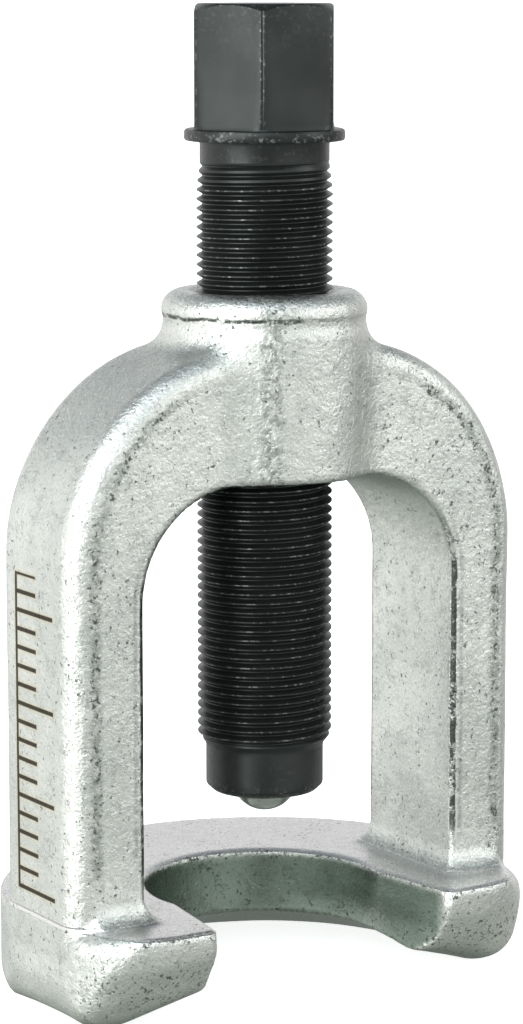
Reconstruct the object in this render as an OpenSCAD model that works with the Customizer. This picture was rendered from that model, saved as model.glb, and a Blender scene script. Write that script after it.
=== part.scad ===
// Ball joint separator: a forged yoke, a fine-thread pressure spindle and the
// thrust ball in its nose.
//
// Frame: the origin is where the spindle axis meets the plane of the throat's
// lower rim. +Z runs up the spindle, +X runs from leg to leg and the throat of
// the fork opens towards -Y. All lengths are millimetres.

/* [Spindle] */
// Nominal thread diameter (M22 x 1.5)
thread_d = 22; // [20:1:24]
// Thread pitch
thread_pitch = 1.5; // [1:0.5:2]
// Hexagon across flats
hex_af = 22; // [19:1:24]
// Height of the hexagon above its collar
hex_h = 19.8; // [14:0.1:24]
// Turned position of the hexagon about the spindle axis, in degrees
hex_clock = -3.5; // [-30:0.5:30]
// Diameter of the thin collar under the hexagon
collar_d = 25.8; // [24:0.1:30]
// Thickness of the collar
collar_t = 1.9; // [1:0.1:4]
// Diameter of the plain neck between collar and thread
neck_d = 20.8; // [18:0.1:21]
// Length of the plain neck
neck_l = 3; // [2:0.1:8]
// Diameter of the plain nose below the thread
nose_d = 19.2; // [17:0.1:20]
// Length of the plain nose
nose_l = 9; // [6:0.1:14]
// Height of the nose face above the throat's lower rim, at rest
nose_z = 26.4; // [23:0.1:31]

/* [Thrust ball] */
// Diameter of the ball
ball_d = 11; // [8:0.5:12]
// How far the ball stands out of the nose face
ball_out = 3.7; // [2:0.1:4.5]
// Radial clearance between the ball and its seat
ball_clearance = 0.06; // [0.03:0.01:0.1]

/* [Yoke crown and boss] */
// Height of the boss face above the throat's lower rim
boss_top_z = 108.6; // [105:0.1:111]
// Diameter of the boss
boss_d = 33.4; // [30:0.1:36]
// Height of the crown's outside above the throat's lower rim
crown_top_z = 100.6; // [98:0.1:104]
// Height of the window's top above the throat's lower rim
window_top_z = 78.8; // [75:0.1:82]
// Outside radius of the crown's shoulders
shoulder_r = 33.6; // [31:0.1:39]
// Radius of the window's upper corners
window_r = 17.5; // [12:0.1:18]

/* [Yoke legs] */
// Clear width between the legs
leg_gap = 58.8; // [56:0.1:62]
// Thickness of a leg across X
leg_t = 12.9; // [10:0.1:13.4]
// Depth of the legs and crown along Y
leg_depth = 24.7; // [20:0.1:26]
// How far behind the spindle axis the middle of that depth lies
leg_shift = 0.6; // [0:0.1:1]
// Rounding of the legs' and crown's outer edges
outer_edge_r = 4.2; // [1:0.1:5]
// Rounding of the window's edges
window_edge_r = 0.9; // [0.5:0.1:3]
// Concave radius where a leg meets the fork
leg_foot_r = 4; // [2:0.1:5]

/* [Fork] */
// Height of the fork's top face above the throat's lower rim
fork_top_z = 10.6; // [9:0.1:12]
// Outside radius of the fork
fork_r = 43.7; // [43:0.1:46]
// Width across the fork's flat sides
fork_w = 86; // [84:0.1:88]
// Slope of the underside down from the throat to the keel, in degrees
underside_slope = 22; // [10:0.5:26]
// Rounding of the keel between the underside and the outside
keel_r = 7.7; // [5:0.1:9]
// Rounding of the fork's upper outside edge
fork_top_edge_r = 2.2; // [1:0.1:4]
// Radius of the throat
throat_r = 19.25; // [18:0.05:21]
// Rounding of the throat's upper rim
throat_edge_r = 2; // [0.5:0.1:3]
// Half the mouth's width where the claws end
mouth_half = 21.2; // [20:0.1:24]
// Distance from the axis to the ends of the claws
claw_reach = 23.4; // [21:0.1:24]
// Height of the lower edge at the ends of the claws
claw_end_low_z = 6.5; // [4:0.1:8]
// Rounding of the upper edge at the ends of the claws
claw_top_edge_r = 1.2; // [0.5:0.1:2.5]
// Corner radius of the claws in plan, outside
claw_corner_r = 8; // [4:0.1:9]
// Corner radius of the claws in plan, at the mouth
mouth_corner_r = 3; // [1:0.1:4]

/* [Hidden] */
// Facets of a drawn circle; the solids are true curves
$fn = 96;
// Overlap that makes a cut or a joint clean
eps = 0.5;

// Thread: the crests are flattened a little and run free in the yoke's bore
crest_loss = 0.05;
crest_r = thread_d / 2 - crest_loss;
depth_per_pitch = 0.6134;
root_r = crest_r - depth_per_pitch * thread_pitch;
groove_half_per_pitch = 0.09;
groove_half = groove_half_per_pitch * thread_pitch;
bore_gap = 0.07;
yoke_bore_r = crest_r + bore_gap;
bore_chamfer = 1.2;
// First crest, turned down a little where the thread starts
crest_break = 0.2;

// Heights along the spindle
thread_bottom_z = nose_z + nose_l;
// Shown position: how far the spindle's collar stands above the window's top
collar_lift = 53.6;
collar_z = window_top_z + collar_lift;
hex_z = collar_z + collar_t;
spindle_top_z = hex_z + hex_h;
thread_top_z = collar_z - neck_l;
nose_chamfer = 1;
hex_chamfer = 1.7;
hex_chamfer_angle = 30;
// Flat top of the hexagon, inside its flats by this much
hex_top_inset = 0.4;
hex_foot_h = 0.8;
collar_edge_r = 0.4;
hex_top_r = hex_af / 2 - hex_top_inset;
thread_turns = floor((thread_top_z - thread_bottom_z) / thread_pitch);

// Ball in its seat
ball_z = nose_z - ball_out + ball_d / 2;
seat_r = ball_d / 2 + ball_clearance;

// Yoke outline
leg_root_z = fork_top_z / 2;
window_half = leg_gap / 2;
leg_outer = window_half + leg_t;
half_depth = leg_depth / 2;
shoulder_x = leg_outer - shoulder_r;
shoulder_z = crown_top_z - shoulder_r;
window_corner_x = window_half - window_r;
window_corner_z = window_top_z - window_r;
boss_edge_r = 3;
boss_cap_h = 10;
boss_flare = 2.5;
boss_flare_h = 5;
boss_flare_drop = 3.5;
boss_flare_inset = 1;

// Keel of the fork: an arc tangent to the outside and to the underside's slope
keel_x = fork_r - keel_r;
keel_touch_x = keel_x - keel_r * sin(underside_slope);
keel_z = keel_r * cos(underside_slope) - (keel_touch_x - throat_r) * tan(underside_slope);
keel_touch_z = keel_z - keel_r * cos(underside_slope);
fork_low_z = keel_z - keel_r;

// Where the bevels under the claws meet, from the ends back to the keel
claw_knee_y = -20;
claw_knee_z = 1;
claw_heel_y = -15.5;
claw_heel_z = -4.3;
claw_root_y = -8.5;

zinc = [0.78, 0.80, 0.78];
black_oxide = [0.10, 0.11, 0.10];
ball_steel = [0.62, 0.63, 0.63];

// Half section of a disc of radius r and thickness t, its lower and upper rims
// rounded to the two radii
module soft_half_section(r, t, low, top) {
  square([r - low, t - top]);
  translate([0, low])
    square([r - top, t - low]);
  translate([0, low])
    square([r, t - low - top]);
  translate([r - low, low])
    circle(r = low);
  translate([r - top, t - top])
    circle(r = top);
}

// Disc about Z with rounded rims, standing on z = 0
module soft_disc(r, t, low, top) {
  rotate_extrude()
    soft_half_section(r, t, low, top);
}

// Rounded rectangle centred on the origin
module soft_rectangle(w, d, edge) {
  square([w - 2 * edge, d], center = true);
  square([w, d - 2 * edge], center = true);
  for (x = [-1, 1], y = [-1, 1])
    translate([x * (w / 2 - edge), y * (d / 2 - edge)])
      circle(r = edge);
}

// Half section of a round cut of radius r through a wall t thick, centred on
// y = 0, which rounds the wall's edges as it leaves
module flared_half_section(r, t, edge) {
  translate([0, -t / 2 - eps])
    square([r, t + 2 * eps]);
  for (side = [0, 1])
    mirror([0, side])
      difference() {
        translate([0, t / 2 - edge])
          square([r + edge, edge + eps]);
        translate([r + edge, t / 2 - edge])
          circle(r = edge);
      }
}

// Turns a shape drawn about Z so that it runs along Y, its +Y side becoming up
module along_y() {
  rotate([90, 0, 0])
    children();
}

// ---------------------------------------------------------------- yoke

// Solid outline of the crown and legs, before the window is cut
module crown_and_legs() {
  for (side = [-1, 1])
    translate([side * shoulder_x, half_depth, shoulder_z])
      along_y()
        soft_disc(shoulder_r, leg_depth, outer_edge_r, outer_edge_r);
  // Flat of the crown between the shoulders
  translate([0, 0, (crown_top_z + window_corner_z) / 2])
    rotate([90, 0, 90])
      linear_extrude(height = 2 * shoulder_x, center = true)
        soft_rectangle(leg_depth, crown_top_z - window_corner_z, outer_edge_r);
  // Legs
  translate([0, 0, leg_root_z])
    linear_extrude(height = shoulder_z - leg_root_z)
      soft_rectangle(2 * leg_outer, leg_depth, outer_edge_r);
}

// Cut that leaves the arched window between the legs
module window_cut() {
  for (side = [-1, 1])
    translate([side * window_corner_x, 0, window_corner_z])
      along_y()
        rotate_extrude()
          flared_half_section(window_r, leg_depth, window_edge_r);
  // Flat top between the round corners
  translate([-window_corner_x, 0, window_corner_z])
    rotate([90, 0, 90])
      linear_extrude(height = 2 * window_corner_x)
        rotate(90)
          flared_half_section(window_r, leg_depth, window_edge_r);
  // Straight sides down to the fork
  for (side = [0, 1])
    mirror([side, 0, 0])
      translate([0, 0, leg_root_z - eps])
        linear_extrude(height = window_corner_z - leg_root_z + eps)
          flared_half_section(window_half, leg_depth, window_edge_r);
}

// Boss that carries the thread, with a short flare onto the crown
module boss() {
  translate([0, 0, window_top_z])
    cylinder(r = boss_d / 2, h = boss_top_z - window_top_z - boss_edge_r - eps);
  translate([0, 0, boss_top_z - boss_cap_h])
    soft_disc(boss_d / 2, boss_cap_h, eps, boss_edge_r);
  intersection() {
    translate([0, 0, crown_top_z - boss_flare_drop])
      cylinder(r1 = boss_d / 2 + boss_flare, r2 = boss_d / 2, h = boss_flare_h);
    translate([0, 0, crown_top_z])
      cube([boss_d + 4 * boss_flare, leg_depth - 2 * boss_flare_inset, 4 * boss_flare_h], center = true);
  }
}

// Plan outline of the fork, its front corners rounded onto the outside circle
module fork_plan() {
  corner_y = claw_reach - claw_corner_r;
  corner_x = sqrt(pow(fork_r - claw_corner_r, 2) - pow(corner_y, 2));
  tangent_y = corner_y * fork_r / (fork_r - claw_corner_r);
  intersection() {
    circle(r = fork_r);
    translate([-fork_w / 2, -tangent_y])
      square([fork_w, fork_r + tangent_y]);
  }
  translate([-corner_x, -claw_reach])
    square([2 * corner_x, claw_reach]);
  for (side = [-1, 1])
    translate([side * corner_x, -corner_y])
      circle(r = claw_corner_r);
}

// Throat in plan: a round seat that opens through slightly parted claws
module throat_plan() {
  part_y = -4;
  part_x = sqrt(pow(throat_r, 2) - pow(part_y, 2));
  bend_y = -claw_reach + mouth_corner_r;
  lip_x = mouth_half + mouth_corner_r;
  circle(r = throat_r);
  polygon([[-part_x, part_y], [part_x, part_y], [mouth_half, bend_y], [-mouth_half, bend_y]]);
  difference() {
    translate([-lip_x, -claw_reach - eps])
      square([2 * lip_x, mouth_corner_r + eps]);
    for (side = [-1, 1])
      translate([side * lip_x, bend_y])
        circle(r = mouth_corner_r);
  }
}

// Half section of the fork: the underside slopes down from the throat to a
// rounded keel
module fork_half_section() {
  inner_x = throat_r - keel_r;
  rim_x = fork_r - fork_top_edge_r;
  polygon([
    [inner_x, (throat_r - inner_x) * tan(underside_slope)],
    [keel_touch_x, keel_touch_z],
    [keel_x, keel_z],
    [fork_r, keel_z],
    [fork_r, fork_top_z - fork_top_edge_r],
    [rim_x, fork_top_z - fork_top_edge_r],
    [rim_x, fork_top_z],
    [inner_x, fork_top_z]
  ]);
  translate([keel_x, keel_z])
    circle(r = keel_r);
  translate([rim_x, fork_top_z - fork_top_edge_r])
    circle(r = fork_top_edge_r);
}

// Side view of the fork, the claws' ends to the left: the underside sweeps up
// to them in three bevels from a line that passes just under the keel
module fork_side_view() {
  round_x = claw_top_edge_r - claw_reach;
  round_z = fork_top_z - claw_top_edge_r;
  polygon([
    [round_x, fork_top_z],
    [round_x, round_z],
    [-claw_reach, round_z],
    [-claw_reach, claw_end_low_z],
    [claw_knee_y, claw_knee_z],
    [claw_heel_y, claw_heel_z],
    [claw_root_y, fork_low_z - eps],
    [fork_r + eps, fork_low_z - eps],
    [fork_r + eps, fork_top_z]
  ]);
  translate([round_x, round_z])
    circle(r = claw_top_edge_r);
}

// Horseshoe fork that goes behind the ball joint
module fork() {
  difference() {
    intersection() {
      rotate_extrude()
        fork_half_section();
      translate([0, 0, fork_low_z - eps])
        linear_extrude(height = fork_top_z - fork_low_z + 2 * eps)
          fork_plan();
      rotate([90, 0, 90])
        linear_extrude(height = fork_w + 2 * eps, center = true)
          fork_side_view();
    }
    translate([0, 0, fork_low_z - eps])
      linear_extrude(height = fork_top_z - fork_low_z + 2 * eps)
        throat_plan();
    // The upper rim alone is rounded; the cut's lower flare stays under the fork
    rotate_extrude()
      flared_half_section(throat_r, 2 * fork_top_z, throat_edge_r);
  }
}

// Half section of the concave fillet round a corner of the given radius
module cove_section(corner) {
  difference() {
    square([corner + leg_foot_r, leg_foot_r]);
    translate([corner + leg_foot_r, leg_foot_r])
      circle(r = leg_foot_r);
  }
}

// Concave fillet round the foot of the +X leg, on its front, back and inside
module leg_cove() {
  corner = window_edge_r;
  inner_x = window_half + corner;
  outer_x = leg_outer - outer_edge_r;
  corner_y = half_depth - corner;
  translate([0, 0, fork_top_z])
    for (y = [-1, 1]) {
      translate([inner_x, y * corner_y, 0])
        rotate_extrude()
          cove_section(corner);
      // Front and back faces
      translate([inner_x, y * corner_y, 0])
        rotate([90, 0, 90])
          linear_extrude(height = outer_x - inner_x)
            mirror([y < 0 ? 1 : 0, 0])
              cove_section(corner);
    }
  // Inside face
  translate([inner_x, corner_y, fork_top_z])
    rotate([90, 0, 0])
      linear_extrude(height = 2 * corner_y)
        mirror([1, 0])
          cove_section(corner);
}

// Threaded bore of the boss, drawn as its plain clearance bore
module yoke_bore() {
  translate([0, 0, window_top_z - window_edge_r - eps])
    cylinder(r = yoke_bore_r, h = boss_top_z - window_top_z + window_edge_r + 2 * eps);
  translate([0, 0, boss_top_z - bore_chamfer])
    cylinder(r1 = yoke_bore_r, r2 = yoke_bore_r + bore_chamfer + eps, h = bore_chamfer + eps);
  translate([0, 0, window_top_z - eps])
    cylinder(r1 = yoke_bore_r + bore_chamfer + eps, r2 = yoke_bore_r, h = bore_chamfer + eps);
}

module forged_yoke() {
  color(zinc)
    difference() {
      union() {
        translate([0, leg_shift, 0]) {
          difference() {
            crown_and_legs();
            window_cut();
          }
          for (side = [0, 1])
            mirror([side, 0, 0])
              leg_cove();
        }
        boss();
        fork();
      }
      yoke_bore();
    }
}

// ------------------------------------------------------------- spindle

// Half section of the whole thread, from its top down
function thread_outline() = concat(
  [[0, thread_top_z], [crest_r - crest_break, thread_top_z]],
  [for (i = [0:thread_turns - 1])
    let (z = thread_top_z - 0.5 * thread_pitch - i * thread_pitch)
      each [
        [crest_r, z + thread_pitch / 2 - groove_half],
        [root_r, z + groove_half],
        [root_r, z - groove_half],
        [crest_r, z - thread_pitch / 2 + groove_half]
      ]],
  [[root_r, thread_bottom_z], [0, thread_bottom_z]]
);

// Threaded shank: closed V grooves at the true pitch, crest and root
module thread() {
  rotate_extrude()
    polygon(thread_outline());
}

module hexagon() {
  intersection() {
    translate([0, 0, hex_z - eps])
      rotate(hex_clock)
        cylinder(d = hex_af / cos(30), h = hex_h + eps, $fn = 6);
    // Chamfer of the top corners
    union() {
      translate([0, 0, hex_z - eps])
        cylinder(r = hex_af, h = hex_h + eps - hex_chamfer);
      translate([0, 0, spindle_top_z - hex_chamfer])
        cylinder(r1 = hex_top_r + hex_chamfer / tan(hex_chamfer_angle), r2 = hex_top_r, h = hex_chamfer);
    }
  }
}

module spindle() {
  color(black_oxide)
    difference() {
      union() {
        hexagon();
        // Small foot where the hexagon stands on the collar
        translate([0, 0, hex_z - eps])
          cylinder(r1 = collar_d / 2 - collar_edge_r, r2 = hex_top_r, h = hex_foot_h + eps);
        translate([0, 0, collar_z])
          soft_disc(collar_d / 2, collar_t, collar_edge_r, collar_edge_r);
        translate([0, 0, thread_top_z])
          cylinder(d = neck_d, h = neck_l + eps);
        thread();
        // Nose
        translate([0, 0, nose_z])
          cylinder(r1 = nose_d / 2 - nose_chamfer, r2 = nose_d / 2, h = nose_chamfer);
        translate([0, 0, nose_z + nose_chamfer])
          cylinder(d = nose_d, h = nose_l - nose_chamfer + eps);
      }
      translate([0, 0, ball_z])
        sphere(r = seat_r);
    }
}

// --------------------------------------------------------- thrust ball

module thrust_ball() {
  color(ball_steel)
    translate([0, 0, ball_z])
      sphere(d = ball_d);
}

forged_yoke();
spindle();
thrust_ball();
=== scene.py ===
"""Ball joint separator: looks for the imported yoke, spindle and thrust ball.

Lengths in the shape code are millimetres in the CAD frame: the origin is where
the spindle axis meets the plane of the throat's lower rim, +Z runs up the
spindle, +X runs from leg to leg and the fork's mouth opens towards -Y. Meshes
are made in metres.
"""

import math

import bpy
import numpy as np
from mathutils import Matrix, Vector


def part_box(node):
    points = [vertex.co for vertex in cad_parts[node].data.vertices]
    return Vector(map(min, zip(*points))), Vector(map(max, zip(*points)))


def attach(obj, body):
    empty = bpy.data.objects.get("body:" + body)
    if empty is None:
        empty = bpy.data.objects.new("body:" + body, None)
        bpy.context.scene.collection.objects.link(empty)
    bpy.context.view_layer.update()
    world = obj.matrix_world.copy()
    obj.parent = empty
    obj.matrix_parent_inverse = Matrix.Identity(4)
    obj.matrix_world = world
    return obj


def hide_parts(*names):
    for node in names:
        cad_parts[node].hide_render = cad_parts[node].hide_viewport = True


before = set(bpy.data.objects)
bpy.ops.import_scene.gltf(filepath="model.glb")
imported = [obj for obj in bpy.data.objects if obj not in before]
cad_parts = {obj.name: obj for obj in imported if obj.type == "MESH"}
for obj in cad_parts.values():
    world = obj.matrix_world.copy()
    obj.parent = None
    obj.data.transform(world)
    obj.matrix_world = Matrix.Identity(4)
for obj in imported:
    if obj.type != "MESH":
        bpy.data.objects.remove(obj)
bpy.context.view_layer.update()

MM = 0.001
lo_yoke, hi_yoke = (np.array(c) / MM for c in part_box("forged_yoke"))
lo_spindle, hi_spindle = (np.array(c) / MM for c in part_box("spindle"))
lo_ball = np.array(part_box("thrust_ball")[0]) / MM

# ------------------------------------------------------------------ sizes
# Skin of the forging, a hair inside the CAD box so that its grain stays in it
SKIN = 0.12

FORK_TOP = 10.6
FORK_R = float(hi_yoke[1]) - SKIN
FORK_SIDE = float(hi_yoke[0]) - SKIN
FORK_LOW = float(lo_yoke[2])
# Draft of the fork's side above z = 0, and its tuck below TUCK_Z
SIDE_DRAFT = 0.09
SIDE_TUCK = 0.24
TUCK_Z = 1.5
UNDERSIDE_SLOPE = math.radians(22)
KEEL_R = 7.7
THROAT_R = 19.25

CLAW_REACH = float(-lo_yoke[1]) - SKIN
CLAW_CORNER_R = 8.0
# The claws' ends lean back above and below this height
CLAW_MID_Z = 5.5
CLAW_DRAFT = 0.2
CLAW_LIFT = 0.8
# Bevel under the claws: its slope and a point of its line
CLAW_BEVEL = math.radians(52)
BEVEL_Y = -18.7
BEVEL_Z = -0.4
BEVEL_R = 5.5
# Inner walls of the claws part from here to the mouth
CLAW_ROOT_HALF = 18.8
CLAW_ROOT_Y = -4.0
MOUTH_HALF = 21.2
MOUTH_CORNER_R = 3.0
SEAT_BLEND_R = 1.1

WINDOW_HALF = 29.4
WINDOW_TOP = 78.8
WINDOW_R = 17.5
WINDOW_EDGE_R = 0.8
LEG_OUTER = 42.3
LEG_ROOT = 4.5
LEG_ROOT_R = 2.0
HALF_DEPTH = 12.35
LEG_SHIFT = 0.6
LEG_EDGE_R = 4.2
CROWN_EDGE_R = 3.6
# Fillet at the legs' feet, and what is left of it where leg and fork are flush
COVE_R = 4.0
FLUSH_COVE_R = 0.5
CROWN_TOP = 100.6
SHOULDER_R = 33.5
BOSS_TOP = float(hi_yoke[2]) - 0.02
BOSS_R = 16.7
BOSS_EDGE_R = 3.2
BOSS_FILLET_R = 2.6
# Shallow waist under the boss's rim
WAIST_Z = 103.9
WAIST_DEPTH = 0.32
WAIST_SPREAD = 1.1
BORE_R = 11.02
BORE_CHAMFER = 1.2

THREAD_R = 10.95
THREAD_DEPTH = 0.92
PITCH = 1.5
NOSE_R = 9.6
NOSE_Z = float(lo_spindle[2])
NOSE_TOP = NOSE_Z + 9.0
NOSE_CHAMFER_TOP = NOSE_Z + 1.25
NECK_R = 10.4
HEX_AF = 22.0
HEX_CLOCK = math.radians(-3.5)
SPINDLE_TOP = float(hi_spindle[2])
HEX_Z = SPINDLE_TOP - 19.8
HEX_CORNER_WEAR = 0.28
HEX_TOP_INSET = 0.4
COLLAR_Z = HEX_Z - 1.9
COLLAR_R = float(hi_spindle[0])
BALL_R = 5.5
BALL_Z = float(lo_ball[2]) + BALL_R
SEAT_R = BALL_R + 0.06
BALL_WORN_FLAT = 0.012
THREAD_LOW = NOSE_TOP - 2.2
THREAD_HIGH = COLLAR_Z - 3.0
RUN_OUT_Z = NOSE_TOP + 0.9


# ------------------------------------------------------------ mesh helpers
def new_object(name, verts_mm, faces, sharp_angle=None):
    """A mesh object from vertices in millimetres, smooth shaded up to sharp_angle."""
    mesh = bpy.data.meshes.new(name)
    mesh.from_pydata((np.asarray(verts_mm) * MM).tolist(), [], faces)
    mesh.validate()
    mesh.polygons.foreach_set("use_smooth", [True] * len(mesh.polygons))
    if sharp_angle is not None:
        mesh.set_sharp_from_angle(angle=sharp_angle)
    mesh.update()
    obj = bpy.data.objects.new(name, mesh)
    bpy.context.scene.collection.objects.link(obj)
    return obj


def point_values(obj, name, values):
    """Stores one number per vertex, read by the materials as an attribute."""
    layer = obj.data.attributes.new(name, "FLOAT", "POINT")
    layer.data.foreach_set("value", np.asarray(values, dtype=np.float32))


def lattice_noise(points, cell, seed):
    """Smooth value noise from -1 to 1 with features about one cell across."""
    rng = np.random.default_rng(seed)
    side = 64
    table = rng.uniform(-1, 1, (side, side, side))
    p = np.asarray(points) / cell + 0.5 * side
    base = np.floor(p).astype(int)
    f = p - base
    f = f * f * (3 - 2 * f)
    total = 0
    for dx in (0, 1):
        for dy in (0, 1):
            for dz in (0, 1):
                weight = (
                    (f[..., 0] if dx else 1 - f[..., 0])
                    * (f[..., 1] if dy else 1 - f[..., 1])
                    * (f[..., 2] if dz else 1 - f[..., 2])
                )
                corner = (base + (dx, dy, dz)) % side
                total = total + weight * table[corner[..., 0], corner[..., 1], corner[..., 2]]
    return total


# --------------------------------------------------- distance-field blends
def both(a, b, r):
    """Intersection of two distance fields with a convex edge of radius r."""
    return np.minimum(-r, np.maximum(a, b)) + np.hypot(np.maximum(r + a, 0), np.maximum(r + b, 0))


def either(a, b, r):
    """Union of two distance fields with a concave fillet of radius r."""
    return np.maximum(r, np.minimum(a, b)) - np.hypot(np.maximum(r - a, 0), np.maximum(r - b, 0))


def arch_outline(x, z, half, top, radius):
    """Distance to an upside-down U: straight sides and two round top corners."""
    u = np.abs(x) - (half - radius)
    v = z - (top - radius)
    inside = np.minimum(np.maximum(u, v), 0)
    return np.hypot(np.maximum(u, 0), np.maximum(v, 0)) + inside - radius


def ramp(value, low, high):
    """0 below low, 1 above high and smooth between."""
    t = np.clip((value - low) / (high - low), 0, 1)
    return t * t * (3 - 2 * t)


# ------------------------------------------------------------ forged yoke
def crown_boss_legs(x, y, z):
    depth = np.abs(y - LEG_SHIFT) - HALF_DEPTH
    outside = arch_outline(x, z, LEG_OUTER, CROWN_TOP, SHOULDER_R)
    edge = LEG_EDGE_R + (CROWN_EDGE_R - LEG_EDGE_R) * ramp(z, 80, 99)
    slab = both(outside, depth, edge)
    # The boss has an upset rim above its waist
    rho = np.hypot(x, y)
    waist = WAIST_DEPTH * np.exp(-((z - WAIST_Z) / WAIST_SPREAD) ** 2)
    boss = both(rho - BOSS_R + waist, z - BOSS_TOP, BOSS_EDGE_R)
    solid = either(slab, boss, BOSS_FILLET_R)
    window = arch_outline(x, z, WINDOW_HALF, WINDOW_TOP, WINDOW_R)
    solid = both(solid, -window, WINDOW_EDGE_R)
    # Legs end inside the fork
    return both(solid, LEG_ROOT - z, LEG_ROOT_R)


def fork(x, y, z):
    rho = np.hypot(x, y)
    lean = SIDE_DRAFT * np.maximum(z, 0) + SIDE_TUCK * np.maximum(TUCK_Z - z, 0)
    side = np.abs(x) - FORK_SIDE + lean
    front = -y - CLAW_REACH + CLAW_DRAFT * np.abs(z - CLAW_MID_Z)
    outline = both(np.maximum(rho - FORK_R, side), front, CLAW_CORNER_R)
    # The underside slopes down to a rounded keel and sweeps up under the claws
    underside = (THROAT_R - rho) * math.tan(UNDERSIDE_SLOPE) + CLAW_LIFT * ramp(y, 6, -20) - z
    body = both(outline, underside * math.cos(UNDERSIDE_SLOPE), KEEL_R)
    bevel = (BEVEL_Y - y) * math.sin(CLAW_BEVEL) + (BEVEL_Z - z) * math.cos(CLAW_BEVEL)
    body = both(body, bevel, BEVEL_R)
    # Throat: round seat, then claws that part towards the mouth
    parting = (MOUTH_HALF - CLAW_ROOT_HALF) / (CLAW_REACH - MOUTH_CORNER_R + CLAW_ROOT_Y)
    claw_wall = np.abs(x) - CLAW_ROOT_HALF + (y - CLAW_ROOT_Y) * parting
    claw_wall = claw_wall / math.hypot(1, parting)
    throat = either(rho - THROAT_R, np.maximum(claw_wall, y), SEAT_BLEND_R)
    # Edge radii: the throat's rim grows upwards and again low down at the mouth,
    # and the top edge grows towards the claws' outer corners
    rim = 0.5 + 1.4 * ramp(z, 2, 7) + 3.2 * ramp(y, -13, -20) * ramp(z, 8, 2)
    top_edge = 1.1 + 2.4 * ramp(np.abs(x), 34.5, 38.5) * ramp(y, 0, -12)
    ring = both(body, z - FORK_TOP, top_edge)
    mouth_lip = both(-throat, front, MOUTH_CORNER_R)
    return both(np.maximum(ring, mouth_lip), -throat, rim)


def yoke_field(p):
    x, y, z = p[..., 0], p[..., 1], p[..., 2]
    # The fillet dies out on the outside, where leg and fork are almost flush
    fillet = COVE_R + (FLUSH_COVE_R - COVE_R) * ramp(np.abs(x), 37.5, 41.0)
    body = either(crown_boss_legs(x, y, z), fork(x, y, z), fillet)
    bore = np.hypot(x, y) - BORE_R
    top_cone = bore - (z - BOSS_TOP + BORE_CHAMFER)
    foot_cone = bore - (WINDOW_TOP + BORE_CHAMFER - z)
    hole = np.minimum(bore, np.minimum(top_cone, foot_cone) * math.sqrt(0.5))
    hole = np.where(z > WINDOW_TOP - 3, hole, 10.0)
    return np.maximum(body, -hole)


def field_gradient(field, p, step=0.05):
    """Slope of a field at each point, by central differences."""
    grad = np.empty_like(p)
    for axis in range(3):
        offset = np.zeros(3)
        offset[axis] = step
        grad[:, axis] = (field(p + offset) - field(p - offset)) / (2 * step)
    return grad


def surface_mesh(field, low, high, cell):
    """Quads on the zero surface of a field: one vertex in each cell it crosses."""
    counts = np.ceil((high - low) / cell).astype(int) + 1
    axes = [low[i] + cell * np.arange(counts[i]) for i in range(3)]
    grid = np.stack(np.meshgrid(*axes, indexing="ij"), axis=-1)
    values = field(grid)
    inside = values < 0
    shape = tuple(n - 1 for n in values.shape)
    total = np.zeros(shape + (3,))
    hits = np.zeros(shape)
    corners = [(i, j, k) for i in (0, 1) for j in (0, 1) for k in (0, 1)]

    def corner_view(array, c):
        return array[c[0]:c[0] + shape[0], c[1]:c[1] + shape[1], c[2]:c[2] + shape[2]]

    for c in corners:
        for axis in range(3):
            if c[axis]:
                continue
            d = tuple(1 if i == axis else c[i] for i in range(3))
            va, vb = corner_view(values, c), corner_view(values, d)
            crossed = (va < 0) != (vb < 0)
            t = np.where(crossed, va / np.where(crossed, va - vb, 1), 0)
            for i in range(3):
                total[..., i] += np.where(crossed, c[i] + (t if i == axis else 0), 0)
            hits += crossed
    active = hits > 0
    index = np.full(shape, -1)
    index[active] = np.arange(active.sum())
    cells = np.argwhere(active)
    verts = low + cell * (cells + total[active] / hits[active][:, None])
    quads = []
    for axis in range(3):
        u, v = (axis + 1) % 3, (axis + 2) % 3
        first = [slice(None)] * 3
        second = [slice(None)] * 3
        first[axis] = slice(0, -1)
        second[axis] = slice(1, None)
        a, b = inside[tuple(first)], inside[tuple(second)]
        edges = np.argwhere(a != b)
        edges = edges[(edges[:, u] > 0) & (edges[:, v] > 0)]
        edges = edges[(edges[:, u] < shape[u]) & (edges[:, v] < shape[v])]
        ring = []
        for du, dv in ((1, 1), (0, 1), (0, 0), (1, 0)):
            at = edges.copy()
            at[:, u] -= du
            at[:, v] -= dv
            ring.append(index[at[:, 0], at[:, 1], at[:, 2]])
        ring = np.stack(ring, axis=1)
        leaves = a[edges[:, 0], edges[:, 1], edges[:, 2]]
        quads.append(np.where(leaves[:, None], ring, ring[:, ::-1]))
    return verts, np.concatenate(quads)


def settle(field, verts, rounds=3):
    """Moves vertices onto the zero surface by Newton steps along its slope."""
    for _ in range(rounds):
        grad = field_gradient(field, verts)
        size = np.maximum((grad ** 2).sum(axis=1), 0.25)
        verts = verts - grad * (field(verts) / size)[:, None]
    return verts


def turning_of(field, verts, reach=1.1):
    """How sharply a surface turns: positive on edges, negative in fillets."""
    steps = [side * reach * np.eye(3)[axis] for axis in range(3) for side in (-1, 1)]
    return sum(field(verts + step) for step in steps) / reach ** 2


def forged_lift(verts):
    """Slow waviness of the skin, calmer on the fork's top and none in the bore."""
    waves = 0.07 * lattice_noise(verts, 11.0, 11) + 0.025 * lattice_noise(verts, 4.5, 12)
    flat_top = ramp(np.abs(verts[:, 2] - FORK_TOP), 0.0, 0.6)
    machined = ramp(np.hypot(verts[:, 0], verts[:, 1]), 12.0, 13.5)
    calm = np.where(verts[:, 2] > 67, machined, 0.45 + 0.55 * flat_top)
    return np.clip(waves * calm, -0.2, SKIN - 0.01)


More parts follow.
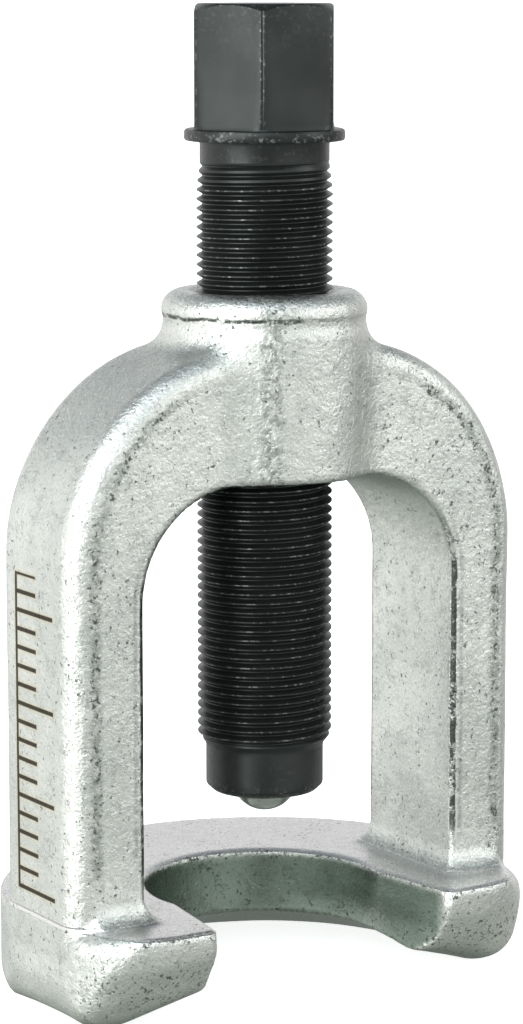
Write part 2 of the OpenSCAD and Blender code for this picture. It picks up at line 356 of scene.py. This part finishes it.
def painted_shade_mask(verts, normal):
    """Painted shade, 1 on the throat's wall and underneath, where shade falls."""
    rho = np.hypot(verts[:, 0], verts[:, 1])
    inwards = -(normal[:, 0] * verts[:, 0] + normal[:, 1] * verts[:, 1]) / np.maximum(rho, 1)
    in_throat = ramp(inwards, 0.3, 0.6) * ramp(rho, 31, 28)
    in_throat = in_throat * ramp(verts[:, 2], FORK_TOP, FORK_TOP - 1.5)
    return np.maximum(in_throat, 0.9 * ramp(-normal[:, 2], 0.6, 0.95))


def make_yoke():
    cell = 0.72
    margin = 2 * cell
    verts, quads = surface_mesh(yoke_field, lo_yoke - margin, hi_yoke + margin, cell)
    verts = settle(yoke_field, verts)
    grad = field_gradient(yoke_field, verts)
    normal = grad / np.maximum(np.linalg.norm(grad, axis=1), 1e-6)[:, None]
    turning = turning_of(yoke_field, verts)
    verts = verts + normal * forged_lift(verts)[:, None]
    verts = np.clip(verts, lo_yoke + 0.01, hi_yoke - 0.01)
    obj = new_object("forged_yoke_skin", verts, quads.tolist())
    # edge drives the painted highlight on convex edges and gathers the pits there
    point_values(obj, "edge", np.clip(turning, 0, 1.5) / 1.5)
    # cavity drives the painted shade in fillets and hollows
    point_values(obj, "cavity", np.clip(-turning, 0, 1))
    # Painted shade on the throat's wall and the undersides
    point_values(obj, "shade", painted_shade_mask(verts, normal))
    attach(obj, "yoke")
    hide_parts("forged_yoke")
    return obj


# ---------------------------------------------------------------- spindle
def spindle_columns():
    """Angles round the spindle, closer together at the hexagon's corners."""
    half = [0.0, 0.6, 1.2, 2.4, 5.0, 8.0, 11.0, 14.0, 17.0, 20.0, 23.0, 26.5]
    sector = half + [30.0] + [60.0 - a for a in half[:0:-1]]
    return np.radians([corner * 60.0 + a for corner in range(6) for a in sector]) + HEX_CLOCK


def hex_radius(theta, apothem, corner):
    """Distance from axis to a hexagon with softened corners."""
    turn = (theta - HEX_CLOCK) % (math.pi / 3)
    near = np.minimum(turn, math.pi / 3 - turn)
    flat = apothem / np.cos(math.pi / 6 - near)
    tip = apothem / math.cos(math.pi / 6) - corner * np.exp(-((near * apothem / 0.35) ** 2))
    return np.minimum(flat, np.maximum(tip, apothem))


# One pitch of thread: place along the pitch, and depth from crest 0 to root 1
THREAD_PROFILE = (
    (0.94, 0.0), (0.06, 0.0), (0.13, 0.17), (0.38, 0.86),
    (0.45, 1.0), (0.55, 1.0), (0.62, 0.86), (0.87, 0.17),
)


def shank_radius(depth, z):
    """Radius at a depth in the thread, which runs out at the nose and the neck."""
    crest = THREAD_R - (THREAD_R - NECK_R) * ramp(z, THREAD_HIGH - 3.6 * PITCH, THREAD_HIGH)
    crest = NOSE_R + (crest - NOSE_R) * ramp(z, NOSE_TOP - 1.6, RUN_OUT_Z)
    root = THREAD_R - THREAD_DEPTH * depth
    fade = ramp(z, THREAD_HIGH - 0.1, THREAD_HIGH - 0.9)
    root = root * fade + crest * (1 - fade)
    return np.minimum(crest, np.maximum(root, np.where(z < RUN_OUT_Z, NOSE_R, 0)))


class RingMesh:
    """Rings of vertices round the Z axis, each vertex with its wear and painted glint."""

    def __init__(self, theta):
        self.theta = theta
        self.columns = len(theta)
        self.verts, self.wear, self.faces = [], [], []

    def add(self, r, k, z, wear=0.0):
        self.verts.append((r * math.cos(self.theta[k]), r * math.sin(self.theta[k]), z))
        self.wear.append(wear)
        return len(self.verts) - 1

    def pole(self, z):
        return self.add(0.0, 0, z)

    def ring(self, r, z, wear=0.0):
        """One vertex at each angle; radius, height, and wear and painted glint may vary round the ring.
        """
        rows = [np.broadcast_to(np.asarray(value, float), self.columns) for value in (r, z, wear)]
        return [self.add(rows[0][k], k, rows[1][k], rows[2][k]) for k in range(self.columns)]

    def quad(self, *corners):
        """A face without the corners that fall together."""
        ring = [v for i, v in enumerate(corners) if v != corners[i - 1]]
        if len(set(ring)) >= 3:
            self.faces.append(ring)

    def bands(self, rings):
        for low, high in zip(rings, rings[1:]):
            for k in range(self.columns):
                n = (k + 1) % self.columns
                self.quad(low[k], low[n], high[n], high[k])

    def cap(self, pole, ring):
        for k in range(self.columns):
            self.faces.append([pole, ring[k], ring[(k + 1) % self.columns]])


def nose_rings(mesh):
    """The ball's seat from its pole to the closed-in lip, then the nose's face and side."""
    steps = 9
    lip_angle = math.acos((NOSE_Z - BALL_Z) / SEAT_R)
    lip_r = SEAT_R * math.sin(lip_angle)
    angles = [lip_angle * k / steps for k in range(1, steps + 1)]
    profile = [(SEAT_R * math.sin(a), BALL_Z + SEAT_R * math.cos(a), 0.0) for a in angles]
    profile += [
        (lip_r + 0.12, NOSE_Z, 0.4), (lip_r + 0.5, NOSE_Z, 0.5),
        (lip_r + 0.9, NOSE_Z + 0.1, 0.1), (lip_r + 1.3, NOSE_Z + 0.12, 0.0),
        (NOSE_R - 1.25, NOSE_Z + 0.02, 0.2), (NOSE_R - 1.0, NOSE_Z + 0.1, 0.5),
        (NOSE_R - 0.1, NOSE_Z + 0.95, 0.6), (NOSE_R, NOSE_CHAMFER_TOP, 0.3),
    ]
    profile += [(NOSE_R, NOSE_CHAMFER_TOP + 1.1 * k, 0.05) for k in range(1, 6)]
    return [mesh.ring(*row) for row in profile]


def add_thread(mesh, low_ring, high_ring):
    """Helical thread: each row climbs one pitch in a turn, so crests follow the helix."""
    per_turn = len(THREAD_PROFILE)
    turns = int((THREAD_HIGH - THREAD_LOW) / PITCH) + 3
    climb = PITCH * (mesh.theta - mesh.theta[0]) / (2 * math.pi)
    starts = [(p if p < 0.9 else p - 1.0) for p, _ in THREAD_PROFILE]
    row_z = [THREAD_LOW - 1.5 * PITCH + (i // per_turn + starts[i % per_turn]) * PITCH
             for i in range((turns + 1) * per_turn)]
    made = {}

    def vertex(i, k):
        if k == mesh.columns:
            return vertex(i + per_turn, 0)
        if (i, k) not in made:
            z = row_z[i] + climb[k]
            if z <= THREAD_LOW + 0.01:
                made[i, k] = low_ring[k]
            elif z >= THREAD_HIGH - 0.01:
                made[i, k] = high_ring[k]
            else:
                depth = THREAD_PROFILE[i % per_turn][1]
                r = float(shank_radius(depth, z))
                # Crests near full radius are marked bright: partly real wear, partly painted glints
                wear = max(0.0, 1 - 5 * (THREAD_R - r)) if depth < 0.1 else 0.0
                made[i, k] = mesh.add(r, k, z, wear)
        return made[i, k]

    for k in range(mesh.columns):
        for i in range(turns * per_turn - 1):
            mesh.quad(vertex(i, k), vertex(i, k + 1), vertex(i + 1, k + 1), vertex(i + 1, k))


def head_rings(mesh):
    """End of the neck, collar, hexagon with its chamfered top, and top face."""
    apothem = HEX_AF / 2
    hex_r = hex_radius(mesh.theta, apothem, HEX_CORNER_WEAR)
    top_r = apothem - HEX_TOP_INSET
    edge_z = SPINDLE_TOP - (hex_r - top_r) * math.tan(math.radians(30))
    # The collar's lower rounding is marked bright: partly wear, partly a painted highlight line
    collar = (
        (NECK_R, COLLAR_Z - 0.5, 0.1), (NECK_R + 0.15, COLLAR_Z - 0.12, 0.0),
        (NECK_R + 0.5, COLLAR_Z, 0.0), (COLLAR_R - 0.55, COLLAR_Z, 0.1),
        (COLLAR_R - 0.2, COLLAR_Z + 0.08, 0.9), (COLLAR_R, COLLAR_Z + 0.4, 1.0),
        (COLLAR_R, HEX_Z - 0.45, 0.4), (COLLAR_R - 0.14, HEX_Z - 0.14, 0.5),
        (COLLAR_R - 0.45, HEX_Z, 0.2),
        (np.minimum(hex_r + 0.25, COLLAR_R - 0.5), HEX_Z + 0.02, 0.0),
        (np.minimum(hex_r + 0.12, COLLAR_R - 0.6), HEX_Z + 0.3, 0.0),
    )
    # The hexagon's corners are bright along their whole length: partly rubbed wear, partly a painted
    # highlight
    corner_wear = 0.9 * ramp((hex_r - apothem) / (hex_r.max() - apothem), 0.93, 1.0)
    hexagon = (
        (hex_r, HEX_Z + 0.9, 0.0), (hex_r, (HEX_Z + SPINDLE_TOP) / 2, 0.0),
        (hex_r, edge_z - 0.25, 0.1), (hex_r - 0.06, edge_z - 0.02, 0.6),
        (hex_r - 0.3, edge_z + 0.12, 0.4),
    )
    top = (
        (top_r + 0.25, SPINDLE_TOP - 0.12, 0.3), (top_r, SPINDLE_TOP - 0.03, 0.5),
        (top_r - 0.4, SPINDLE_TOP, 0.2), (top_r * 0.66, SPINDLE_TOP, 0.0),
        (top_r * 0.33, SPINDLE_TOP, 0.0),
    )
    rings = [mesh.ring(*row) for row in collar]
    rings += [mesh.ring(r, z, np.maximum(wear, corner_wear)) for r, z, wear in hexagon]
    return rings + [mesh.ring(*row) for row in top]


def make_spindle():
    mesh = RingMesh(spindle_columns())
    seat_pole = mesh.pole(BALL_Z + SEAT_R)
    nose = nose_rings(mesh)
    nose.append(mesh.ring(shank_radius(1.0, THREAD_LOW), THREAD_LOW))
    neck = mesh.ring(NECK_R, THREAD_HIGH, 0.1)
    add_thread(mesh, nose[-1], neck)
    head = [neck] + head_rings(mesh)
    top_pole = mesh.pole(SPINDLE_TOP)
    mesh.bands(nose)
    mesh.bands(head)
    mesh.cap(seat_pole, nose[0][::-1])
    mesh.cap(top_pole, head[-1])
    obj = new_object("spindle_body", mesh.verts, mesh.faces, math.radians(32))
    point_values(obj, "edge", mesh.wear)
    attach(obj, "screw")
    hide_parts("spindle")
    return obj


# ------------------------------------------------------------ thrust ball
def make_ball():
    """A ball of even quads, rubbed slightly flat where it bears on the stud."""
    steps = 20
    verts, faces, seen = [], [], {}
    tangents = np.tan(np.linspace(-math.pi / 4, math.pi / 4, steps + 1))
    flat_z = BALL_Z - BALL_R + BALL_WORN_FLAT

    def vertex(p):
        key = tuple(np.round(p, 6))
        if key not in seen:
            seen[key] = len(verts)
            q = np.array(p) / np.linalg.norm(p) * BALL_R
            verts.append((q[0], q[1], max(q[2] + BALL_Z, flat_z)))
        return seen[key]

    for axis in range(3):
        for side in (-1, 1):
            for i in range(steps):
                for j in range(steps):
                    ring = []
                    for a, b in ((i, j), (i + 1, j), (i + 1, j + 1), (i, j + 1)):
                        p = [0.0, 0.0, 0.0]
                        p[axis] = float(side)
                        p[(axis + 1) % 3] = tangents[a]
                        p[(axis + 2) % 3] = tangents[b]
                        ring.append(vertex(p))
                    faces.append(ring if side > 0 else ring[::-1])
    obj = new_object("thrust_ball_ground", verts, faces)
    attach(obj, "ball")
    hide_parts("thrust_ball")
    return obj


# -------------------------------------------------------------- materials
class Nodes:
    """Small helper that adds and links shader nodes by name."""

    def __init__(self, name):
        self.material = bpy.data.materials.new(name)
        self.material.use_nodes = True
        self.tree = self.material.node_tree
        self.tree.nodes.clear()
        self.output = self.add("ShaderNodeOutputMaterial")
        self.shader = self.add("ShaderNodeBsdfPrincipled")
        self.link(self.shader.outputs[0], self.output.inputs["Surface"])
        self.place = self.add("ShaderNodeTexCoord").outputs["Object"]

    def add(self, kind, **settings):
        node = self.tree.nodes.new(kind)
        for key, value in settings.items():
            setattr(node, key, value)
        return node

    def link(self, a, b):
        self.tree.links.new(a, b)

    def noise(self, size_mm, detail=2.0, rough=0.5, vector=None):
        node = self.add("ShaderNodeTexNoise")
        node.inputs["Scale"].default_value = 1.0 / (size_mm * MM)
        node.inputs["Detail"].default_value = detail
        node.inputs["Roughness"].default_value = rough
        self.link(vector or self.place, node.inputs["Vector"])
        return node.outputs["Fac"]

    def attribute(self, name):
        return self.add("ShaderNodeAttribute", attribute_name=name).outputs["Fac"]

    def remap(self, value, low, high, to_low=0.0, to_high=1.0, smooth=True):
        node = self.add("ShaderNodeMapRange")
        node.interpolation_type = "SMOOTHSTEP" if smooth else "LINEAR"
        for key, v in (("From Min", low), ("From Max", high), ("To Min", to_low), ("To Max", to_high)):
            node.inputs[key].default_value = v
        self.link(value, node.inputs["Value"])
        return node.outputs["Result"]

    def math(self, operation, a, b=None):
        node = self.add("ShaderNodeMath", operation=operation)
        for i, value in enumerate((a, b)):
            if value is None:
                continue
            if isinstance(value, (int, float)):
                node.inputs[i].default_value = value
            else:
                self.link(value, node.inputs[i])
        return node.outputs[0]

    def times(self, a, b):
        return self.math("MULTIPLY", a, b)

    def plus(self, a, b):
        return self.math("ADD", a, b)

    def minus(self, a, b):
        return self.math("SUBTRACT", a, b)

    def most(self, a, b):
        return self.math("MAXIMUM", a, b)

    def least(self, a, b):
        return self.math("MINIMUM", a, b)

    def size(self, a):
        return self.math("ABSOLUTE", a)

    def length(self, a, b):
        return self.math("SQRT", self.plus(self.times(a, a), self.times(b, b)))

    def wobble(self, size_mm, detail, rough, reach_mm):
        """Noise about zero, in metres, that makes a line ragged."""
        return self.times(self.minus(self.noise(size_mm, detail, rough), 0.5), reach_mm * MM)

    def near(self, distance, centre_mm, far_mm, full_mm, strength=1.0):
        """Up to strength within full_mm of a line at centre_mm, and 0 beyond far_mm."""
        away = self.size(self.minus(distance, centre_mm * MM))
        return self.remap(away, far_mm * MM, full_mm * MM, 0.0, strength)

    def between(self, place, zero_mm, one_mm, to_low=0.0, to_high=1.0):
        """Smooth change from to_low at zero_mm to to_high at one_mm."""
        return self.remap(place, zero_mm * MM, one_mm * MM, to_low, to_high)

    def mix(self, factor, a, b):
        node = self.add("ShaderNodeMix", data_type="RGBA")
        for key, value in ((0, factor), (6, a), (7, b)):
            if isinstance(value, (int, float)):
                node.inputs[key].default_value = value
            elif isinstance(value, tuple):
                node.inputs[key].default_value = (*value, 1.0)
            else:
                self.link(value, node.inputs[key])
        return node.outputs[2]

    def bump(self, height, distance_mm, strength, normal=None):
        node = self.add("ShaderNodeBump")
        node.inputs["Distance"].default_value = distance_mm * MM
        node.inputs["Strength"].default_value = strength
        self.link(height, node.inputs["Height"])
        if normal is not None:
            self.link(normal, node.inputs["Normal"])
        return node.outputs["Normal"]

    def axes(self):
        node = self.add("ShaderNodeSeparateXYZ")
        self.link(self.place, node.inputs[0])
        return node.outputs


def arch_distance(n, x, z, half, top, radius):
    """Distance outwards from an arch's outline, in metres, on the legs and crown."""
    across = n.most(n.minus(n.size(x), (half - radius) * MM), 0.0)
    above = n.most(n.minus(z, (top - radius) * MM), 0.0)
    return n.minus(n.length(across, above), radius * MM)


def trim_seams(n, x, y, z):
    """Ragged seam beside the outer rounding and crisp line at the window's edge."""
    wobble = n.wobble(3.5, 4, 0.65, 2.4)
    outer = n.plus(arch_distance(n, x, z, LEG_OUTER, CROWN_TOP, SHOULDER_R), wobble)
    band = n.near(outer, -LEG_EDGE_R, 1.5, 0.3, 0.75)
    window = arch_distance(n, x, z, WINDOW_HALF, WINDOW_TOP, WINDOW_R)
    window = n.plus(window, n.times(wobble, 0.3))
    edge = n.most(n.near(window, 0.3, 0.6, 0.3), n.near(window, 1.7, 0.6, 0.1, 0.3))
    edge = n.times(edge, n.between(z, 75, 64))
    # Only on the front and back faces, above the legs' feet
    depth = n.size(n.minus(y, LEG_SHIFT * MM))
    on_face = n.between(depth, HALF_DEPTH - 1.0, HALF_DEPTH - 0.6)
    on_face = n.times(on_face, n.between(z, 13, 20))
    band = n.times(band, n.between(z, 97, 91))
    return n.times(band, on_face), n.times(edge, on_face)


def rim_crease_shade(n, x, y, z):
    """Painted shade: a thin dark line in the crease under the boss's rim, darker on the left, 0 to 1."""
    height = n.plus(z, n.wobble(5, 3, 0.6, 1.2))
    line = n.times(n.near(height, 104.8, 0.5, 0.1), n.between(n.length(x, y), 15.3, 16.0))
    return n.times(line, n.between(x, 4, -6, 0.25, 1.0))


def boss_reflection_band(n, x, y, z):
    """Painted reflection: a darker band down the left front of the boss, 0 to 1."""
    across_x, across_y = 0.847, -0.531
    across = n.plus(n.times(x, across_x), n.times(y, across_y))
    band = n.near(across, 1.1, 3.0, 0.8)
    on_boss = n.times(n.between(y, -13.5, -14.2), n.between(z, 74, 80))
    patches = n.remap(n.noise(1.3, 4, 0.7), 0.40, 0.62)
    return n.times(n.times(band, on_boss), patches)


def tick_scale(n, x, y, z):
    """Etched scale down the left leg's outer face: distance to its lines, in metres."""
    back, short, long = 6.5 * MM, 0.0, -5.5 * MM
    low, high, half_line = 14.4 * MM, 65.5 * MM, 0.38 * MM
    face_x = -40 * MM

    def ticks(spacing_mm, start):
        apart = n.math("PINGPONG", n.minus(z, low), spacing_mm * MM / 2)
        line = n.most(n.minus(apart, half_line), n.minus(start, y))
        return n.most(line, n.minus(y, back))

    spine = n.minus(n.size(n.minus(y, back)), half_line)
    lines = n.least(n.least(ticks(3, short), ticks(15, long)), spine)
    lines = n.most(lines, n.minus(low - half_line, z))
    lines = n.most(lines, n.minus(z, high))
    return n.most(lines, n.minus(x, face_x))


def zinc_material():
    n = Nodes("zinc_plated_forging")
    x, y, z = n.axes()
    edge, cavity, shade = n.attribute("edge"), n.attribute("cavity"), n.attribute("shade")
    seam, window_line = trim_seams(n, x, y, z)
    # Dark line at the window's edge, and painted shade in the crease under the boss's rim
    creases = n.most(window_line, rim_crease_shade(n, x, y, z))
    creases = n.times(creases, n.remap(n.noise(2.6, 4, 0.7), 0.38, 0.52, 0.25, 1.0))
    cloud = n.remap(n.noise(14, 3, 0.55), 0.35, 0.65)
    grain = n.noise(0.5, 4, 0.65)
    # Dark pits gather in patches, on the claws, along worn edges and at the seam
    patches = n.times(n.remap(n.noise(6, 3, 0.6), 0.46, 0.64), 0.5)
    claws = n.times(n.between(z, 10.5, 2), n.between(y, -6, -19))
    rough_edge = n.times(edge, n.between(z, 110, 30, 0.35, 1.0))
    crowd = n.most(n.most(patches, n.most(claws, rough_edge)), n.times(seam, 1.5))
    pits = n.plus(n.noise(0.75, 4, 0.7), n.times(crowd, 0.085))
    specks = n.remap(pits, 0.635, 0.685)
    # Fine wandering cracks in the plating, in patches
    wander = n.size(n.minus(n.noise(1.6, 4, 0.7), 0.5))
    cracks = n.times(n.remap(wander, 0.010, 0.002), n.remap(n.noise(3.2, 3, 0.6), 0.50, 0.60))
    streak = n.times(seam, n.remap(n.noise(1.1, 4, 0.7), 0.38, 0.58, 0.15, 0.8))
    # The fork's flat top face: painted lighter below as a painted highlight, with calmer bumps
    top_face = n.times(
        n.between(z, FORK_TOP - 0.5, FORK_TOP - 0.2), n.between(z, FORK_TOP + 0.6, FORK_TOP + 0.2)
    )
    lines = tick_scale(n, x, y, z)
    ink = n.between(lines, 0.08, -0.12)
    colour = n.mix(cloud, (0.62, 0.645, 0.61), (0.72, 0.74, 0.70))
    for factor, tint in (
        (n.remap(grain, 0.52, 0.72, 0.0, 0.45), (0.34, 0.37, 0.34)),
        # Painted highlight: the fork's flat top face lighter
        (n.times(top_face, 0.75), (0.86, 0.84, 0.84)),
        # Painted shade in the fillets and hollows
        (n.times(cavity, 0.4), (0.28, 0.33, 0.30)),
        # Painted shade on the throat's wall and the undersides
        (n.times(shade, 0.95), (0.155, 0.205, 0.165)),
        # Painted highlight: convex edges a little lighter
        (n.times(edge, 0.15), (0.88, 0.89, 0.87)),
        (streak, (0.16, 0.19, 0.165)),
        # Dark line at the window's edge, and painted shade in the crease under the boss's rim
        (n.times(creases, 0.95), (0.035, 0.04, 0.037)),
        # Painted reflection: dark band down the left front of the boss
        (n.times(boss_reflection_band(n, x, y, z), 0.75), (0.20, 0.22, 0.20)),
        (n.times(cracks, 0.6), (0.16, 0.17, 0.15)),
        (n.times(specks, 0.85), (0.07, 0.075, 0.065)),
        # Warm halo and dark ink of the scale
        (n.between(lines, 0.7, 0.0, 0.0, 0.4), (0.66, 0.58, 0.36)),
        (n.times(ink, 0.95), (0.03, 0.022, 0.012)),
    ):
        colour = n.mix(factor, colour, tint)
    n.link(colour, n.shader.inputs["Base Color"])
    rough = n.plus(n.remap(grain, 0.25, 0.75, 0.24, 0.36), n.times(n.most(specks, ink), 0.3))
    n.link(rough, n.shader.inputs["Roughness"])
    n.shader.inputs["Metallic"].default_value = 1.0
    calm = n.remap(n.most(shade, top_face), 0.0, 1.0, 1.0, 0.4)
    coarse = n.bump(n.times(n.noise(1.9, 3, 0.6), calm), 0.24, 0.9)
    fine = n.bump(n.times(grain, calm), 0.17, 1.0, coarse)
    hollows = n.most(n.most(specks, creases), n.most(cracks, seam))
    pitted = n.bump(n.minus(1.0, hollows), 0.12, 0.9, fine)
    n.link(pitted, n.shader.inputs["Normal"])
    return n.material


def black_oxide_material():
    n = Nodes("black_oxide_steel")
    wear = n.attribute("edge")
    patches = n.noise(0.8, 4, 0.65)
    rubbed_and_glints = n.times(wear, n.remap(patches, 0.52, 0.66))
    cloud = n.remap(n.noise(9, 2, 0.5), 0.3, 0.7)
    colour = n.mix(cloud, (0.025, 0.0285, 0.027), (0.034, 0.038, 0.0365))
    # Bright marks on crests, corners and edges: partly real wear, partly painted glints and highlights
    colour = n.mix(n.times(rubbed_and_glints, 0.5), colour, (0.34, 0.35, 0.34))
    n.link(colour, n.shader.inputs["Base Color"])
    rough = n.remap(n.noise(0.7, 3, 0.6), 0.3, 0.7, 0.33, 0.41)
    n.link(rough, n.shader.inputs["Roughness"])
    n.shader.inputs["Metallic"].default_value = 0.8
    n.link(n.bump(n.noise(0.5, 3, 0.6), 0.005, 0.3), n.shader.inputs["Normal"])
    return n.material


def ball_material():
    n = Nodes("hardened_ball_steel")
    smear = n.remap(n.noise(2.0, 3, 0.6), 0.35, 0.7)
    colour = n.mix(smear, (0.62, 0.63, 0.62), (0.42, 0.43, 0.42))
    n.link(colour, n.shader.inputs["Base Color"])
    n.link(n.remap(smear, 0.0, 1.0, 0.2, 0.36), n.shader.inputs["Roughness"])
    n.shader.inputs["Metallic"].default_value = 1.0
    n.link(n.bump(n.noise(0.35, 2, 0.5), 0.01, 0.3), n.shader.inputs["Normal"])
    return n.material


def floor_material():
    n = Nodes("floor_paper")
    shade = n.remap(n.noise(60, 2, 0.5), 0.3, 0.7)
    colour = n.mix(shade, (0.86, 0.86, 0.86), (0.88, 0.88, 0.88))
    n.link(colour, n.shader.inputs["Base Color"])
    n.shader.inputs["Roughness"].default_value = 0.9
    n.shader.inputs["Emission Color"].default_value = (1.0, 1.0, 1.0, 1.0)
    n.shader.inputs["Emission Strength"].default_value = 0.78
    return n.material


# ---------------------------------------------------------- stage and light
def make_stage():
    mesh = bpy.data.meshes.new("studio_floor")
    half = 40.0
    corners = [(-half, -half, 0), (half, -half, 0), (half, half, 0), (-half, half, 0)]
    mesh.from_pydata(corners, [], [(0, 1, 2, 3)])
    floor = bpy.data.objects.new("studio_floor", mesh)
    gap = 0.0002
    floor.location.z = FORK_LOW * MM - gap
    floor.visible_glossy = False
    floor.data.materials.append(floor_material())
    bpy.context.scene.collection.objects.link(floor)


def area_light(name, place, target, size, power, colour=(1, 1, 1)):
    data = bpy.data.lights.new(name, "AREA")
    data.shape = "RECTANGLE"
    data.size, data.size_y = size
    data.energy = power
    data.color = colour
    light = bpy.data.objects.new(name, data)
    light.location = place
    aim = Vector(target) - Vector(place)
    light.rotation_euler = aim.to_track_quat("-Z", "Y").to_euler()
    bpy.context.scene.collection.objects.link(light)


# Brightness of the studio from straight down, at 0, to straight up, at 1
SKY = (
    (0.0, (0.30, 0.33, 0.30)), (0.20, (0.55, 0.59, 0.55)), (0.30, (0.84, 0.86, 0.84)),
    (0.44, (0.98, 0.98, 0.97)), (0.49, (1.0, 1.0, 1.0)), (0.70, (1.0, 1.0, 1.0)),
    (0.73, (0.30, 0.33, 0.35)), (0.86, (0.23, 0.26, 0.28)), (1.0, (0.22, 0.24, 0.26)),
)
# Directions that are brighter or darker: cosines where the change starts and
# ends, and the factor at its end
PATCHES = (
    ("light wall on the left", (-0.94, 0.1, 0.32), -0.2, 0.7, 1.3),
    ("darker patch low behind", (0.48, 0.77, -0.41), 0.87, 0.965, 0.4),
    ("darker side on the right", (0.95, -0.30, -0.10), 0.70, 0.92, 0.50),
    ("light overhead in front", (-0.45, -0.50, 0.74), 0.70, 0.90, 3.8),
    ("gap where a photographer stands", (-0.53, -0.848, 0.0), 0.90, 0.99, 0.10),
)


def make_world():
    world = bpy.data.worlds.new("studio")
    bpy.context.scene.world = world
    world.use_nodes = True
    tree = world.node_tree
    background = tree.nodes["Background"]
    background.inputs["Strength"].default_value = 1.0
    direction = tree.nodes.new("ShaderNodeTexCoord").outputs["Generated"]

    def remap(value, ends, smooth):
        node = tree.nodes.new("ShaderNodeMapRange")
        node.interpolation_type = "SMOOTHSTEP" if smooth else "LINEAR"
        for key, number in zip(("From Min", "From Max", "To Min", "To Max"), ends):
            node.inputs[key].default_value = number
        tree.links.new(value, node.inputs["Value"])
        return node.outputs["Result"]

    split = tree.nodes.new("ShaderNodeSeparateXYZ")
    tree.links.new(direction, split.inputs[0])
    sky = tree.nodes.new("ShaderNodeValToRGB")
    tree.links.new(remap(split.outputs["Z"], (-1, 1, 0, 1), False), sky.inputs["Fac"])
    elements = sky.color_ramp.elements
    while len(elements) < len(SKY):
        elements.new(0.5)
    for element, (position, colour) in zip(elements, SKY):
        element.position = position
        element.color = (*colour, 1)
    shaded = sky.outputs["Color"]
    for label, towards, start, end, factor in PATCHES:
        dot = tree.nodes.new("ShaderNodeVectorMath")
        dot.operation = "DOT_PRODUCT"
        dot.label = label
        tree.links.new(direction, dot.inputs[0])
        dot.inputs[1].default_value = towards
        scale = tree.nodes.new("ShaderNodeVectorMath")
        scale.operation = "SCALE"
        tree.links.new(shaded, scale.inputs[0])
        amount = remap(dot.outputs["Value"], (start, end, 1.0, factor), True)
        tree.links.new(amount, scale.inputs["Scale"])
        shaded = scale.outputs["Vector"]
    tree.links.new(shaded, background.inputs["Color"])


def make_camera():
    """Camera at the photograph's angle: from the left front, looking a little down."""
    azimuth = math.radians(32.0)
    pitch = math.radians(9.0)
    reach, height = 0.546, 0.1587
    yaw = math.radians(0.052)
    data = bpy.data.cameras.new("camera")
    data.lens = 119.5
    data.sensor_width = 36.0
    data.clip_end = 50
    camera = bpy.data.objects.new("camera", data)
    camera.location = (-math.sin(azimuth) * reach, -math.cos(azimuth) * reach, height)
    turn = azimuth - yaw
    look = Vector((math.sin(turn) * math.cos(pitch), math.cos(turn) * math.cos(pitch), -math.sin(pitch)))
    camera.rotation_euler = look.to_track_quat("-Z", "Y").to_euler()
    bpy.context.scene.collection.objects.link(camera)
    bpy.context.scene.camera = camera


yoke = make_yoke()
spindle = make_spindle()
ball = make_ball()
yoke.data.materials.append(zinc_material())
spindle.data.materials.append(black_oxide_material())
ball.data.materials.append(ball_material())

make_stage()
make_world()
area_light("left_softbox", (-0.75, -0.15, 0.30), (0, 0, 0.07), (0.5, 0.9), 5.5)
area_light("right_softbox", (0.65, -0.60, 0.45), (0, 0, 0.06), (0.45, 0.8), 3.0)
make_camera()
bpy.context.scene.view_settings.view_transform = "Standard"
